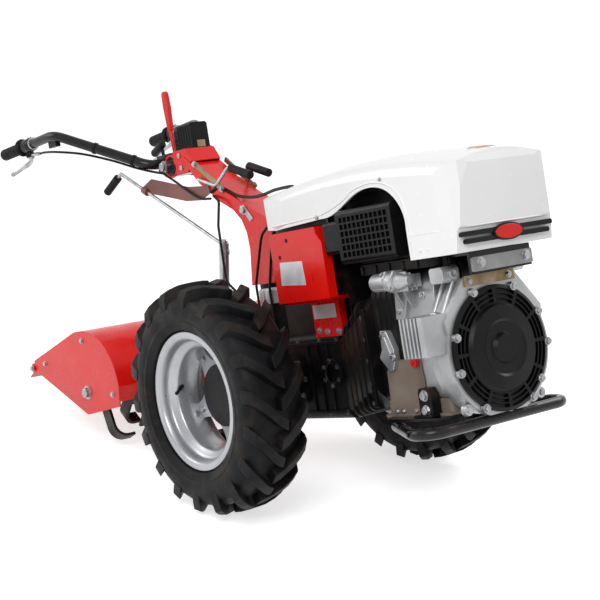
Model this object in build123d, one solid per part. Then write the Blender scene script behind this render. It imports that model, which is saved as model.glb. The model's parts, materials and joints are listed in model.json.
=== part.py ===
from build123d import *
import math
import os

os.makedirs("parts", exist_ok=True)

# Stance: the machine is modelled level about its axle, then tipped nose up onto its depth skid.
PITCH = 15.0
AXLE_X = 269.077

# Wheels
TYRE_R = 285.0
TYRE_W = 165.0
CARCASS_R = 262.0
TRACK = 655.0
RIM_R = 170.0
SEAT_R = 152.0
RIM_HALF = 63.5
LUGS_PER_SIDE = 18
AXLE_SHAFT_R = 20.0
AXLE_BORE_R = 20.06
DISC_INSET = 27.5
DISC_Y = TRACK / 2 - DISC_INSET
DISC_T = 8.0
HUB_DEPTH = 58.0
HUB_DRUM_R = 77.0
STUB_LENGTH = 150.0
LUG_ANGLE = 45.0
LUG_W = 30.0
FACETS = 36

# Gearbox and engine
GEARBOX_HALF = 80.0
GEARBOX_TOP = 110.0
GEARBOX_BOTTOM = -105.0
FAN_Z = 35.0
FAN_R = 152.0
FAN_COVER_R = 141.0
FAN_REAR = 600.0
FAN_FRONT = 664.0

# Bumper
BUMPER_X = 640.0
BUMPER_Z = -120.0
BUMPER_HALF = 250.0
BUMPER_R = 13.0

# Hood
HOOD_HALF = 152.0
HOOD_T = 6.0

# Steering column and handlebar
COLUMN_HALF = 50.0
HINGE_X = -500.0
HINGE_Z = 615.0
BAR_R = 14.0
GRIP_R = 17.5
BAR_X = -548.0
BAR_Z = 628.0
GRIP_END = (-1045.0, -262.0, 750.0)
BAR_BEND = (-760.0, -245.0, 762.0)

# Tiller
SHIELD_HALF = 343.0
ROTOR_X = -615.0
ROTOR_Z = 29.0
ROTOR_R = 150.0
SHIELD_T = 4.0
FLAP_X = -918.0
FLAP_Z = 108.0
FLAP_PIN_R = 6.0
CASE_HALF = 30.0
SHIELD_REAR_X = -908.0
SHIELD_REAR_Z = 130.0

# Depth screw: upright when the machine stands tipped.
SCREW_X = -275.0
SCREW_Z = 368.0
SCREW_Y = -50.0
SCREW_R = 14.0
CRANK_TOP = (-745.0, -54.0, 630.0)
CRANK_FOOT = (SCREW_X, SCREW_Y, SCREW_Z)
CRANK_END = (-829.0, -58.0, 590.0)
SKID_R = 60.0

SIN_P = math.sin(math.radians(PITCH))
COS_P = math.cos(math.radians(PITCH))


def block(x0, x1, y0, y1, z0, z1):
    return Pos((x0 + x1) / 2, (y0 + y1) / 2, (z0 + z1) / 2) * Box(x1 - x0, y1 - y0, z1 - z0)


def cyl_x(x0, x1, y, z, r):
    return Pos((x0 + x1) / 2, y, z) * Rot(0, 90, 0) * Cylinder(r, x1 - x0)


def cyl_y(y0, y1, x, z, r):
    return Pos(x, (y0 + y1) / 2, z) * Rot(90, 0, 0) * Cylinder(r, y1 - y0)


def cyl_z(z0, z1, x, y, r):
    return Pos(x, y, (z0 + z1) / 2) * Cylinder(r, z1 - z0)


def bar_between(a, b, r):
    line = Line(a, b)
    section = Plane(origin=line @ 0, z_dir=line % 0) * Circle(r)
    return extrude(section, amount=line.length, dir=line % 0)


def rod(points, radii, r):
    path = FilletPolyline(*points, radius=radii)
    section = Plane(origin=path @ 0, z_dir=path % 0) * Circle(r)
    return sweep(section, path=path)


def side_prism(points, y0, y1):
    wire = Polyline(*[(x, y0, z) for x, z in points], close=True)
    return extrude(make_face(wire), amount=y1 - y0, dir=(0, 1, 0))


def plan_prism(points, z0, z1):
    wire = Polyline(*[(x, y, z0) for x, y in points], close=True)
    return extrude(make_face(wire), amount=z1 - z0, dir=(0, 0, 1))


def mirror_y(shape):
    return mirror(shape, about=Plane.XZ)


def ring_y(profile, x, z):
    # A closed profile of (along the axle, radius) points turned about the Y direction.
    wire = Polyline(*[(0, t, r) for t, r in profile], close=True)
    return Pos(x, 0, z) * revolve(make_face(wire), axis=Axis.Y)


def tyre_profile():
    # Outline of the carcass as (along the axle, radius), first the outside and then the hollow.
    half = TYRE_W / 2
    bead = RIM_HALF - 0.1
    near = [(-bead + 3.4, SEAT_R), (-bead, SEAT_R + 1), (-bead, RIM_R + 3), (-half + 8, RIM_R + 12),
            (-half, 214),
            (-half + 5, 238), (-half + 20, CARCASS_R - 8)]
    hollow = [(half - 40, SEAT_R), (half - 16, 195), (half - 16, 225), (half - 34, CARCASS_R - 22)]
    outside = near + [(-t, r) for t, r in reversed(near)]
    return outside + hollow + [(-t, r) for t, r in reversed(hollow)]


def polar(t, r, degrees):
    a = math.radians(degrees)
    return (r * math.sin(a), t, r * math.cos(a))


def solid_of(faces):
    return Solid(Shell(faces))


def flat(*points):
    return Face(Wire.make_polygon([Vector(*p) for p in points], close=True))


def carcass():
    # A ring of flat facets, so that a tyre stays light; its flats keep the stated radii.
    step = 360.0 / FACETS
    widen = 1 / math.cos(math.radians(step / 2))
    profile = [(t, r * widen) for t, r in tyre_profile()]
    faces = []
    for i in range(FACETS):
        a, b = step * i, step * (i + 1)
        for (t0, r0), (t1, r1) in zip(profile, profile[1:] + profile[:1]):
            faces.append(flat(polar(t0, r0, a), polar(t1, r1, a), polar(t1, r1, b), polar(t0, r0, b)))
    return solid_of(faces)


def lug(side, middle):
    # One slanted bar: its inner end leads, and its outer end wraps down over the shoulder.
    half = TYRE_W / 2
    turn = math.degrees(LUG_W / 2 / TYRE_R)
    crest = TYRE_R / math.cos(math.radians(turn))
    lean = math.degrees(math.tan(math.radians(LUG_ANGLE)) / TYRE_R)
    stations = []
    for t, top, root, wide in ((-8, crest, 244, 1.0), (half * 0.55, crest - 2, 242, 1.0),
                               (half - 5, crest - 14, 226, 1.15),
                               (half + 0.5, 232, 212, 1.25)):
        sweep_back = -lean * max(t, 0) * (1 if t < half - 6 else 0.93)
        at = middle + sweep_back
        inset = 0 if t < half - 6 else (10 if t < half else 14)
        half_turn = turn * wide
        foot = side * (t - inset)
        stations.append([polar(side * t, top, at - half_turn), polar(side * t, top, at + half_turn),
                         polar(foot, root, at + half_turn), polar(foot, root, at - half_turn)])
    faces = []
    for first, second in zip(stations, stations[1:]):
        for k in range(4):
            m = (k + 1) % 4
            faces.append(flat(first[k], first[m], second[m]))
            faces.append(flat(first[k], second[m], second[k]))
    for end in (stations[0], stations[-1]):
        faces.append(flat(end[0], end[1], end[2]))
        faces.append(flat(end[0], end[2], end[3]))
    return solid_of(faces)


def tyre():
    step = 360.0 / LUGS_PER_SIDE
    lugs = [lug(1, step * i) for i in range(LUGS_PER_SIDE)]
    lugs = lugs + [lug(-1, step * (i + 0.5)) for i in range(LUGS_PER_SIDE)]
    # Turned so that one lug lies flat on the ground when the machine stands tipped.
    return Rot(0, PITCH, 0) * carcass().fuse(*lugs)


def rim():
    h = RIM_HALF
    outer = [(-h, RIM_R), (-h, SEAT_R + 1), (-h + 3.5, SEAT_R), (-h + 22, SEAT_R), (-h + 30, 132),
             (h - 30, 132),
             (h - 22, SEAT_R), (h - 3.5, SEAT_R), (h, SEAT_R + 1), (h, RIM_R)]
    inner = [(h + 5, RIM_R + 2), (h + 5, SEAT_R - 6), (h - 24, SEAT_R - 6), (h - 32, 126), (-h + 32, 126),
             (-h + 24, SEAT_R - 6), (-h - 5, SEAT_R - 6), (-h - 5, RIM_R + 2)]
    return ring_y(outer + inner, 0, 0)


def wheel_disc():
    # Five-lobed star: its lobes reach the rim's well, where each is bolted on.
    well = 126.0
    star = Rot(90, 0, 0) * Cylinder(well, DISC_T)
    for i in range(5):
        a = math.radians(72 * i)
        star = star - cyl_y(-DISC_T, DISC_T, 147 * math.sin(a), 147 * math.cos(a), 66)
    return star - (Rot(90, 0, 0) * Cylinder(30.0, 20))


def wheel_hub():
    # Drum on both sides of the disc, with the stub shaft that turns in the axle tube.
    face = DISC_T / 2
    boss = cyl_y(-HUB_DEPTH, -face, 0, 0, 52)
    shaft = cyl_y(-STUB_LENGTH, -HUB_DEPTH, 0, 0, AXLE_SHAFT_R)
    drum = cyl_y(face, face + 9, 0, 0, HUB_DRUM_R)
    drum = chamfer(drum.edges().filter_by(GeomType.CIRCLE).group_by(Axis.Y)[-1], 2)
    core = cyl_y(-face - 0.5, face + 0.5, 0, 0, 30)
    return boss + shaft + drum + core


def gearbox():
    body = block(-150, 200, -GEARBOX_HALF, GEARBOX_HALF, GEARBOX_BOTTOM, GEARBOX_TOP)
    body = fillet(body.edges().filter_by(Axis.X), 18)
    flange = cyl_x(-165, -150, 0, 0, 78)
    tube = DISC_Y - HUB_DEPTH - 10
    for side in (-1, 1):
        y0, y1 = sorted((side * (GEARBOX_HALF - 1), side * tube))
        body = body + cyl_y(y0, y1, 0, 0, 42)
        y0, y1 = sorted((side * GEARBOX_HALF, side * (GEARBOX_HALF + 14)))
        body = body + cyl_y(y0, y1, 0, 0, 66)
    body = body + flange
    for side in (-1, 1):
        y0, y1 = sorted((side * (DISC_Y - STUB_LENGTH), side * (tube + 8)))
        body = body - cyl_y(y0, y1, 0, 0, AXLE_BORE_R)
    return body


def bell_section(x, half, low, high, corner):
    pts = [(-half + corner, low), (half - corner, low), (half, low + corner), (half, high - corner),
           (half - corner, high),
           (-half + corner, high), (-half, high - corner), (-half, low + corner)]
    return make_face(Polyline(*[(x, y, z) for y, z in pts], close=True))


def bell_housing():
    cone = loft([bell_section(200, GEARBOX_HALF, GEARBOX_BOTTOM, GEARBOX_TOP, 22),
                 bell_section(360, 130, -75, 195, 48)],
                ruled=True)
    return cone + extrude(bell_section(360, 130, -75, 195, 48), amount=15, dir=(1, 0, 0))


def engine_block():
    # The engine as one plain block, round at the top like its crankcase.
    body = block(375, 600, -108, 108, -60, 235)
    body = fillet(body.edges().filter_by(Axis.X).group_by(Axis.Z)[-1], 62)
    return fillet(body.edges().filter_by(Axis.X).group_by(Axis.Z)[0], 18)


def sump():
    body = block(375, 600, -145, 145, -95, -60)
    return fillet(body.edges().filter_by(Axis.Z), 15)


def front_prism(points, x0, x1):
    wire = Polyline(*[(x0, y, z) for y, z in points], close=True)
    return extrude(make_face(wire), amount=x1 - x0, dir=(1, 0, 0))


def fan_scroll():
    # Scroll with a flat top; the front flange is a little wider than the scroll behind it.
    top = FAN_Z + 166
    shoulders = [(-78, top), (78, top), (FAN_R - 4, FAN_Z + 78), (FAN_R - 14, FAN_Z), (-FAN_R + 14, FAN_Z),
                 (-FAN_R + 4, FAN_Z + 78)]
    body = cyl_x(FAN_REAR, FAN_FRONT, 0, FAN_Z, FAN_R - 7) + front_prism(shoulders, FAN_REAR, FAN_FRONT)
    body = body + cyl_x(FAN_FRONT - 16, FAN_FRONT, 0, FAN_Z, FAN_R)
    for side in (-1, 1):
        rib = front_prism([(side * 70, top - 8), (side * 86, top - 8), (side * (FAN_R + 1), FAN_Z + 70),
                           (side * (FAN_R - 9), FAN_Z + 64)], FAN_REAR + 18, FAN_REAR + 30)
        body = body + rib
    return body


def fan_housing():
    body = fan_scroll() - cyl_x(FAN_REAR + 6, FAN_FRONT + 1, 0, FAN_Z, FAN_COVER_R - 10)
    under = BUMPER_Z + BUMPER_R + 0.5
    return body - block(FAN_REAR - 10, FAN_FRONT + 10, -200, 200, -200, under)


def arc_slot(x0, x1, r0, r1, a0, a1):
    ring = cyl_x(x0, x1, 0, FAN_Z, r1) - cyl_x(x0 - 1, x1 + 1, 0, FAN_Z, r0)
    wide = 220.0
    angles = [math.radians(a) for a in (a0, a1)]
    wedge = [(0, FAN_Z)] + [(wide * math.sin(a), FAN_Z + wide * math.cos(a)) for a in angles]
    return ring & front_prism(wedge, x0 - 1, x1 + 1)


def fan_cover():
    rim_r = FAN_COVER_R
    profile = [(0, FAN_FRONT), (rim_r, FAN_FRONT), (rim_r, FAN_FRONT + 7), (rim_r - 8, FAN_FRONT + 10),
               (rim_r - 41, FAN_FRONT + 10),
               (rim_r - 47, FAN_FRONT + 18), (64, FAN_FRONT + 22), (58, FAN_FRONT + 18), (36, FAN_FRONT + 18),
               (30, FAN_FRONT + 27), (0, FAN_FRONT + 27)]
    wire = Polyline(*[(x, 0, FAN_Z + r) for r, x in profile], close=True)
    disc = revolve(make_face(wire), axis=Axis((0, 0, FAN_Z), (1, 0, 0)))
    slots = []
    for r in (rim_r - 39, rim_r - 28, rim_r - 17):
        for i in range(12):
            slots.append(arc_slot(FAN_FRONT + 2, FAN_FRONT + 12, r, r + 8, 30 * i + 2, 30 * i + 28))
    return disc - slots


def oil_cooler():
    core = block(586, 652, -199, -112, 50, 128)
    for i in range(7):
        x = 581 + i * 12
        core = core + block(x, x + 5, -205, -112, 46, 133)
    core = core + block(640, 658, -205, -112, 46, 133)
    return core - fan_scroll() - engine_block()


def starter_motor():
    barrel = cyl_x(448, 540, -145, 216, 21) + cyl_x(492, 506, -145, 216, 25)
    nose = side_prism([(506, 240), (552, 240), (574, 214), (566, 190), (528, 168), (506, 190)], -168, -122)
    foot = block(455, 560, -140, -104, 196, 226)
    return barrel + nose + foot - engine_block()


CROWN = ((-30, 471), (126, 487), (322, 501), (511, 497), (676, 481), (770, 466))


def hood_section(x, crown, t):
    # Cross-section with a flat arch over rounded shoulders.
    w = HOOD_HALF - t
    edge = crown - 24 - t
    top = crown - t
    outline = [Line((x, -w, 0), (x, -w, edge - 24)),
               ThreePointArc((x, -w, edge - 24), (x, -w + 8, edge - 5), (x, -w + 30, edge + 7)),
               ThreePointArc((x, -w + 30, edge + 7), (x, 0, top), (x, w - 30, edge + 7)),
               ThreePointArc((x, w - 30, edge + 7), (x, w - 8, edge - 5), (x, w, edge - 24)),
               Line((x, w, edge - 24), (x, w, 0)), Line((x, w, 0), (x, -w, 0))]
    return make_face(outline)


def hood_volume(t, drop):
    # Outer body for t = 0; the same body drawn in by t and left open below gives the hollow.
    rear, front = -22 + t, 762 - t
    nose = [(front - 26, 474), (front - 6, 462), (front, 444), (front - 15, 312), (front - 20, 306),
            (front - 27, 264),
            (front - 30, 256)]
    if drop:
        side = make_face(Polyline(*[(x, 0, z) for x, z in [(rear, 100), (rear, 560),
                                                           (front - 26, 560)] + nose[1:] +
                                    [(front - 36, 100)]], close=True))
    else:
        lower = [Polyline((591, 0, 256), (591, 0, 325)), Spline((591, 0, 325), (576, 0, 387), (538, 0, 420),
                                                                (493, 0, 431),
                 (434, 0, 424), (388, 0, 405), (296, 0, 383)), Polyline((296, 0, 383), (101, 0, 376),
                                                                        (rear + 42, 0, 385),
                 (rear, 0, 440), (rear, 0, 560), (front - 26, 0, 560), *[(x, 0, z) for x, z in nose[1:]],
                                                                        (591, 0, 256))]
        side = make_face(lower)
    body = Pos(0, -200, 0) * extrude(side, amount=400, dir=(0, 1, 0))
    w = HOOD_HALF - t
    plan = [(front - 60, -w), (150, -w), (60, -w + 14), (rear, -70 + t), (rear, 70 - t), (60, w - 14),
            (150, w),
            (front - 60, w), (front - 22, w - 9), (front - 6, w - 24), (front, w - 50), (front, -w + 50),
            (front - 6, -w + 24), (front - 22, -w + 9)]
    body = body & plan_prism(plan, 0, 600)
    return body & loft([hood_section(x, crown, t) for x, crown in CROWN])


def hood():
    shell = hood_volume(0, 0) - hood_volume(HOOD_T, 300)
    lip = block(600, 716, -HOOD_HALF + HOOD_T - 1, HOOD_HALF - HOOD_T + 1, 256, 260)
    return shell + lip


def hood_trim():
    bars = []
    for z, half in ((294, 138), (278, 126)):
        bar = block(724, 748, -half, half, z - 5.5, z + 5.5)
        bars.append(fillet(bar.edges().filter_by(Axis.X), 5) - hood_volume(0, 0))
    return bars


def side_boxes():
    profile = [(95, 197), (300, 197), (300, 330), (284, 350), (280, 368), (95, 368)]
    right = side_prism(profile, -165, -85)
    hollow = block(98, 277, -162, -80, 200, 365)
    right = right - hollow
    return [right, mirror_y(right)]


def side_brackets():
    shelf = block(110, 281, -150, -60, 190, 197)
    leg = block(110, 220, -80, -62, 100, 190)
    right = (shelf + leg) - gearbox() - bell_housing()
    return [right, mirror_y(right)]


def support_frame():
    inner = hood_volume(HOOD_T, 300)
    top = block(300, 306, -140, 140, 200, 600) & inner
    low = block(300, 306, -110, 110, 120, 200) - bell_housing()
    return top + low


def air_filter_box():
    body = block(306, 364, -160, -50, 295, 372)
    return fillet(body.edges().filter_by(Axis.X), 10)


def air_filter_grille():
    # Cover with a square mesh of ribs on its open side.
    low, high, rear, front = 268, 393, 364, 562
    body = block(rear, front, -165, -60, low, high)
    body = fillet(body.edges().filter_by(Axis.X), 12)
    pitch, rib, deep = 16.0, 4.0, 5.0
    wide = int((front - rear - 8) // pitch)
    tall = int((high - low - 22) // pitch)
    x0 = (front + rear - wide * pitch) / 2
    z0 = (high + low - tall * pitch) / 2
    pockets = [block(x0 + pitch * i + rib / 2, x0 + pitch * (i + 1) - rib / 2, -170, -165 + deep,
                     z0 + pitch * j + rib / 2,
                     z0 + pitch * (j + 1) - rib / 2) for i in range(wide) for j in range(tall)]
    return body - pockets


def front_bracket():
    shelf = block(640, 712, -92, 92, 249, 255)
    front = block(706, 712, -92, 92, 206, 249)
    leg = block(640, 646, -60, 60, FAN_Z + 166, 249)
    return shelf + front + leg


def front_plate():
    return block(712, 717, -90, 90, 212, 242) - cyl_x(700, 730, 0, 227, 6.5)


def zinc_plate():
    return block(FAN_FRONT, FAN_FRONT + 4, -76, 76, 180, 204)


def engine_base():
    return block(400, FAN_REAR - 3, -150, 150, -103, -95)


def bumper():
    low = -103 - BUMPER_R - 0.3
    pts = [(415, -120, low), (BUMPER_X, -BUMPER_HALF, BUMPER_Z), (BUMPER_X, BUMPER_HALF, BUMPER_Z),
           (415, 120, low)]
    return rod(pts, [46, 46], BUMPER_R)


def column_foot():
    return cyl_z(GEARBOX_TOP, 250, -112, 0, 56)


def column():
    profile = [(-174, 250), (-157, 346), (-160, 390), (-174, 425), (-205, 456), (-262, 486), (-345, 545),
               (-416, 622),
               (-405, 628), (-385, 614), (-302, 551), (-218, 501), (-136, 457), (-68, 422), (-48, 396),
               (-52, 250)]
    body = side_prism(profile, -COLUMN_HALF, COLUMN_HALF)
    core = [(-230, 256), (-230, 400), (-270, 440), (-372, 530), (-390, 598), (-304, 544), (-220, 494),
            (-138, 450),
            (-72, 416), (-54, 392), (-58, 256)]
    return body - side_prism(core, -COLUMN_HALF + 6, COLUMN_HALF - 6)


def clamp_base():
    # Forked head on the column's top that carries the handlebar's pivot.
    ears = []
    fork = side_prism([(-500, 647), (-500, 583), (-395, 583), (-370, 612), (-395, 647)], -46, 46)
    fork = fork + cyl_y(-46, 46, HINGE_X, HINGE_Z, 32)
    gap = block(-560, -455, -32, 32, 540, 700)
    shelf = block(-479, -400, -10, 46, 641, 652)
    solid_column = side_prism([(-345, 500), (-345, 545), (-416, 622), (-405, 628), (-385, 614), (-302, 551)],
                              -COLUMN_HALF, COLUMN_HALF)
    return fork + shelf - gap - solid_column - cyl_y(-58, 58, HINGE_X, HINGE_Z, 8)


def pivot_bolt():
    body = cyl_y(-58, 58, HINGE_X, HINGE_Z, 8)
    body = body + cyl_y(-58, -46, HINGE_X, HINGE_Z, 16) + cyl_y(46, 58, HINGE_X, HINGE_Z, 16)
    return body


def handlebar():
    half = [GRIP_END, BAR_BEND, (BAR_X, -75, BAR_Z)]
    other = [(x, -y, z) for x, y, z in reversed(half)]
    return rod(half + other, [70, 45, 45, 70], BAR_R)


def handlebar_hub():
    body = cyl_y(-31.5, 31.5, HINGE_X, HINGE_Z, 30)
    body = body + block(-572, -500, -31.5, 31.5, 604, 652)
    body = body - cyl_y(-40, 40, BAR_X, BAR_Z, BAR_R)
    return body - cyl_y(-60, 60, HINGE_X, HINGE_Z, 8.05)


def grips():
    end = Vector(*GRIP_END)
    along = (Vector(*BAR_BEND) - end).normalized()
    outer = bar_between(end - along * 6, end + along * 112, GRIP_R)
    right = outer - bar_between(end, end + along * 120, BAR_R)
    return [right, mirror_y(right)]


def hand_levers():
    end, bend = Vector(*GRIP_END), Vector(*BAR_BEND)
    along = (bend - end).normalized()
    pivot = end + along * 152
    points = [pivot + Vector(0, 24, 0), pivot + Vector(-30, 36, -28), end + along * 46 + Vector(0, 14, -50),
              end + along * 18 + Vector(0, 12, -52)]
    right = rod([tuple(p) for p in points], [20, 14], 5)
    mount = bar_between(tuple(pivot + Vector(0, 2, 0)), tuple(pivot + Vector(0, 30, 0)), 9) - handlebar()
    right = right + mount
    return [right, mirror_y(right)]


def control_box():
    body = block(-479, -411, -10, 48, 652, 723)
    return chamfer(body.edges().filter_by(Axis.X).group_by(Axis.Z)[-1], 5)


def red_lever():
    stem = bar_between((-540, 12, 652), (-544, 12, 730), 6)
    outline = [(-551, 718), (-537, 718), (-532, 786), (-535, 826), (-541, 832), (-550, 831), (-555, 824),
               (-556, 790)]
    return stem + side_prism(outline, 6, 18)


def shift_levers():
    y = COLUMN_HALF + 5.5
    near = rod([(-340, -y, 557), (-260, -y, 528), (-225, -30, 574), (-180, -30, 552)], [14, 14], 5)
    far = rod([(-340, y, 557), (-260, y, 528), (-225, 30, 574), (-180, 30, 552)], [14, 14], 5)
    return [near, far]


def shift_grips():
    levers = shift_levers()
    near = bar_between((-215, -30, 568), (-130, -30, 537), 11) - levers[0]
    far = bar_between((-215, 30, 568), (-130, 30, 537), 11) - levers[1]
    return [near, far]


def control_cables():
    # Clutch cable from the column down to the gearbox, and two more from under the hood.
    r = 3.5
    beside = -COLUMN_HALF - r - 0.3
    over = GEARBOX_TOP + 0.3
    return [
        rod([(-282, beside, 504), (-245, -64, 486), (-234, -86, 420), (-238, -86, 271), (-135, -61, 165),
             (-135, -61, over)], [20, 40, 40, 20], r),
        rod([(299.7, -74, 436), (40, -74, 430), (-62, -74, 376), (-121, -74, 252), (-121, -74, over)],
            [60, 50, 50], r),
        rod([(299.7, -60, 424), (50, -60, 420), (-35, -60, 373), (-84, -60, 235), (-84, -60, over)],
            [60, 50, 50], r),
    ]


def crank_bracket():
    # Plate on the column's right side whose free end holds the crank shaft.
    y0 = -COLUMN_HALF - 4
    outline = [(-631, 577), (-585, 592), (-405, 545), (-300, 534), (-296, 514), (-345, 500), (-418, 507),
               (-522, 533),
               (-600, 552)]
    plate = side_prism(outline, y0, -COLUMN_HALF)
    eye = bar_between(crank_point(128), crank_point(150), 11) - bar_between(CRANK_TOP, CRANK_FOOT, 5.0)
    plate = plate - bar_between(CRANK_TOP, CRANK_FOOT, 5.0)
    return plate + eye


def crank_point(s):
    along = (Vector(*CRANK_FOOT) - Vector(*CRANK_TOP)).normalized()
    return tuple(Vector(*CRANK_TOP) + along * s)


def crank():
    shaft = bar_between(CRANK_TOP, CRANK_FOOT, 5)
    elbow = Pos(*CRANK_TOP) * Sphere(5)
    return shaft + elbow + bar_between(CRANK_TOP, CRANK_END, 5)


def crank_handle():
    top, end = Vector(*CRANK_TOP), Vector(*CRANK_END)
    along = (end - top).normalized()
    return bar_between(tuple(top + along * 22), tuple(end + along * 5), 12) - crank()


def screw_point(s, side=0.0):
    return (SCREW_X - SIN_P * s + COS_P * side, SCREW_Y, SCREW_Z - COS_P * s + SIN_P * -side)


def depth_screw():
    tube = bar_between(screw_point(-6), screw_point(395), SCREW_R)
    bore = bar_between(screw_point(120), screw_point(420), 10.06)
    return tube - bore - crank()


def depth_skid():
    # Sled runner whose lowest line is on the ground when the machine stands tipped.
    floor = SCREW_X * SIN_P + SCREW_Z * COS_P + TYRE_R
    cx, cy, cz = screw_point(floor - SKID_R)
    leg = bar_between(screw_point(200), screw_point(floor - SKID_R + 12), 10)
    runner = cyl_y(-95, 95, 0, 0, SKID_R) - cyl_y(-96, 96, 0, 0, SKID_R - 6)
    runner = runner - Pos(0, 0, 34) * Box(200, 300, 120)
    web = block(-5, 5, -90, 90, -SKID_R + 5, -SKID_R + 43)
    pad = Pos(0, SCREW_Y, -SKID_R + 40) * Box(26, 34, 20)
    foot = Pos(cx, 0, cz) * Rot(0, PITCH, 0) * (runner + web + pad)
    return leg + foot


def screw_clamp():
    cx, cy, cz = screw_point(330)
    body = block(cx - 22, cx + 22, -72, -34, cz - 25, cz + 25)
    return body - bar_between(screw_point(14), screw_point(395), SCREW_R)


def tiller_neck():
    body = block(-470, -165, -34, 34, -34, 60)
    flange = cyl_x(-180, -165, 0, 0, 78)
    return body + flange + screw_clamp()


def tiller_gear_case():
    wheel = cyl_y(-CASE_HALF, CASE_HALF, ROTOR_X, ROTOR_Z, 62)
    body = side_prism([(-470, -34), (-470, 60), (-540, 100), (-625, 91), (-660, 50), (-640, -20),
                       (-600, -33)],
                      -CASE_HALF, CASE_HALF)
    stay = side_prism([(-540, 99), (-625, 90), (-640, 240), (-540, 240)], -26, 26) & shield_region(SHIELD_T,
                                                                                                   50)
    return body + wheel + stay - cyl_y(-40, 40, ROTOR_X, ROTOR_Z, 20.06)


def shield_region(inset, half):
    # The tiller cover seen from the side: straight back slope, ridge, and a rounded front, drawn in by inset.
    i = inset
    outline = [Polyline((-448 - i * 0.3, -half, -14), (-437 - i, -half, 40)),
               ThreePointArc((-437 - i, -half, 40), (-474 - i * 0.7, -half, 142 - i * 0.7),
                             (-565, -half, 195 - i)),
               ThreePointArc((-565, -half, 195 - i), (-609, -half, 199.5 - i), (-650, -half, 196 - i)),
               Polyline((-650, -half, 196 - i), (SHIELD_REAR_X, -half, SHIELD_REAR_Z - i),
                        (SHIELD_REAR_X, -half, 100),
                        (-850, -half, 73), (-631, -half, -33), (-448 - i * 0.3, -half, -14))]
    return extrude(make_face(outline), amount=2 * half, dir=(0, 1, 0))


def shield_top():
    # Rolled sheet, open below and behind, with a notch for the drive case at the front.
    outer = shield_region(0, SHIELD_HALF)
    sheet = outer - shield_region(SHIELD_T, SHIELD_HALF + 1)
    kept = [(-420, 300), (-420, -10), (-500, 20), (-600, 120), (-930, 90), (-930, 300)]
    sheet = sheet & side_prism(kept, -SHIELD_HALF, SHIELD_HALF)
    return sheet - block(-500, -400, -CASE_HALF - 8, CASE_HALF + 8, -60, 118)


def tiller_sides():
    plate = Pos(0, -SHIELD_HALF - SHIELD_T / 2, 0) * shield_region(0, SHIELD_T / 2)
    y0, y1 = -SHIELD_HALF - SHIELD_T, -SHIELD_HALF
    ear = cyl_y(y0, y1, FLAP_X, FLAP_Z, 15)
    right = plate + ear - cyl_y(y0 - 5, y1 + 5, FLAP_X, FLAP_Z, FLAP_PIN_R + 0.05)
    return [right, mirror_y(right)]


def tiller_flap():
    end = SHIELD_HALF + SHIELD_T + 4
    barrel = cyl_y(-end, end, FLAP_X, FLAP_Z, FLAP_PIN_R)
    leaf = side_prism([(FLAP_X, FLAP_Z + 3), (FLAP_X - 54, FLAP_Z - 24), (FLAP_X - 56, FLAP_Z - 28),
                       (FLAP_X, FLAP_Z - 3)],
                      -SHIELD_HALF + 8, SHIELD_HALF - 8)
    return barrel + leaf


def tine(angle, y, foot):
    # Flat bar bent over into a foot; foot is +1 or -1: the side to which it turns.
    reach = ROTOR_R - 7
    path = FilletPolyline((0, y, 46), (0, y, reach), (0, y + foot * 54, reach), radius=34)
    blade = sweep(Plane(origin=(0, y, 46), x_dir=(1, 0, 0), z_dir=(0, 0, 1)) * Rectangle(38, 8), path=path)
    return Pos(ROTOR_X, 0, ROTOR_Z) * Rot(0, angle, 0) * blade


def tiller_rotor():
    reach = SHIELD_HALF - 21
    outer = reach - 16
    body = cyl_y(-reach, reach, ROTOR_X, ROTOR_Z, 20)
    for side in (-1, 1):
        y0, y1 = sorted((side * (CASE_HALF + 6), side * reach))
        body = body + cyl_y(y0, y1, ROTOR_X, ROTOR_Z, 30)
        for k, y in enumerate((outer * 0.31, outer * 0.655, outer)):
            y0, y1 = sorted((side * (y - 5), side * (y + 5)))
            body = body + cyl_y(y0, y1, ROTOR_X, ROTOR_Z, 60)
            for i in range(4):
                foot = side * (-1 if (i % 2 == 0 or k == 2) else 1)
                body = body + tine(30 * k + 90 * i + (15 if side > 0 else 0) + 13, side * y, foot)
    return body


def stand(shape):
    return Pos(AXLE_X, 0, TYRE_R) * Rot(0, -PITCH, 0) * shape


def wheel_place(shape, side):
    moved = shape if side > 0 else mirror_y(shape)
    return Pos(0, side * TRACK / 2, 0) * moved


def save(name, shape):
    placed = [stand(s) for s in shape] if isinstance(shape, list) else [stand(shape)]
    export_step(placed[0] if len(placed) == 1 else Compound(children=placed), f"parts/{name}.step")


def wheels():
    tyre_one = tyre()
    rim_one = rim()
    for side, word in ((-1, "right"), (1, "left")):
        save(f"tyre_{word}", wheel_place(tyre_one, side))
        save(f"rim_{word}", wheel_place(rim_one, side))
        inboard = Pos(0, side * DISC_Y, 0)
        disc = wheel_disc()
        hub = wheel_hub()
        if side < 0:
            disc, hub = mirror_y(disc), mirror_y(hub)
        save(f"wheel_disc_{word}", inboard * disc)
        save(f"wheel_hub_{word}", inboard * hub)


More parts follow.
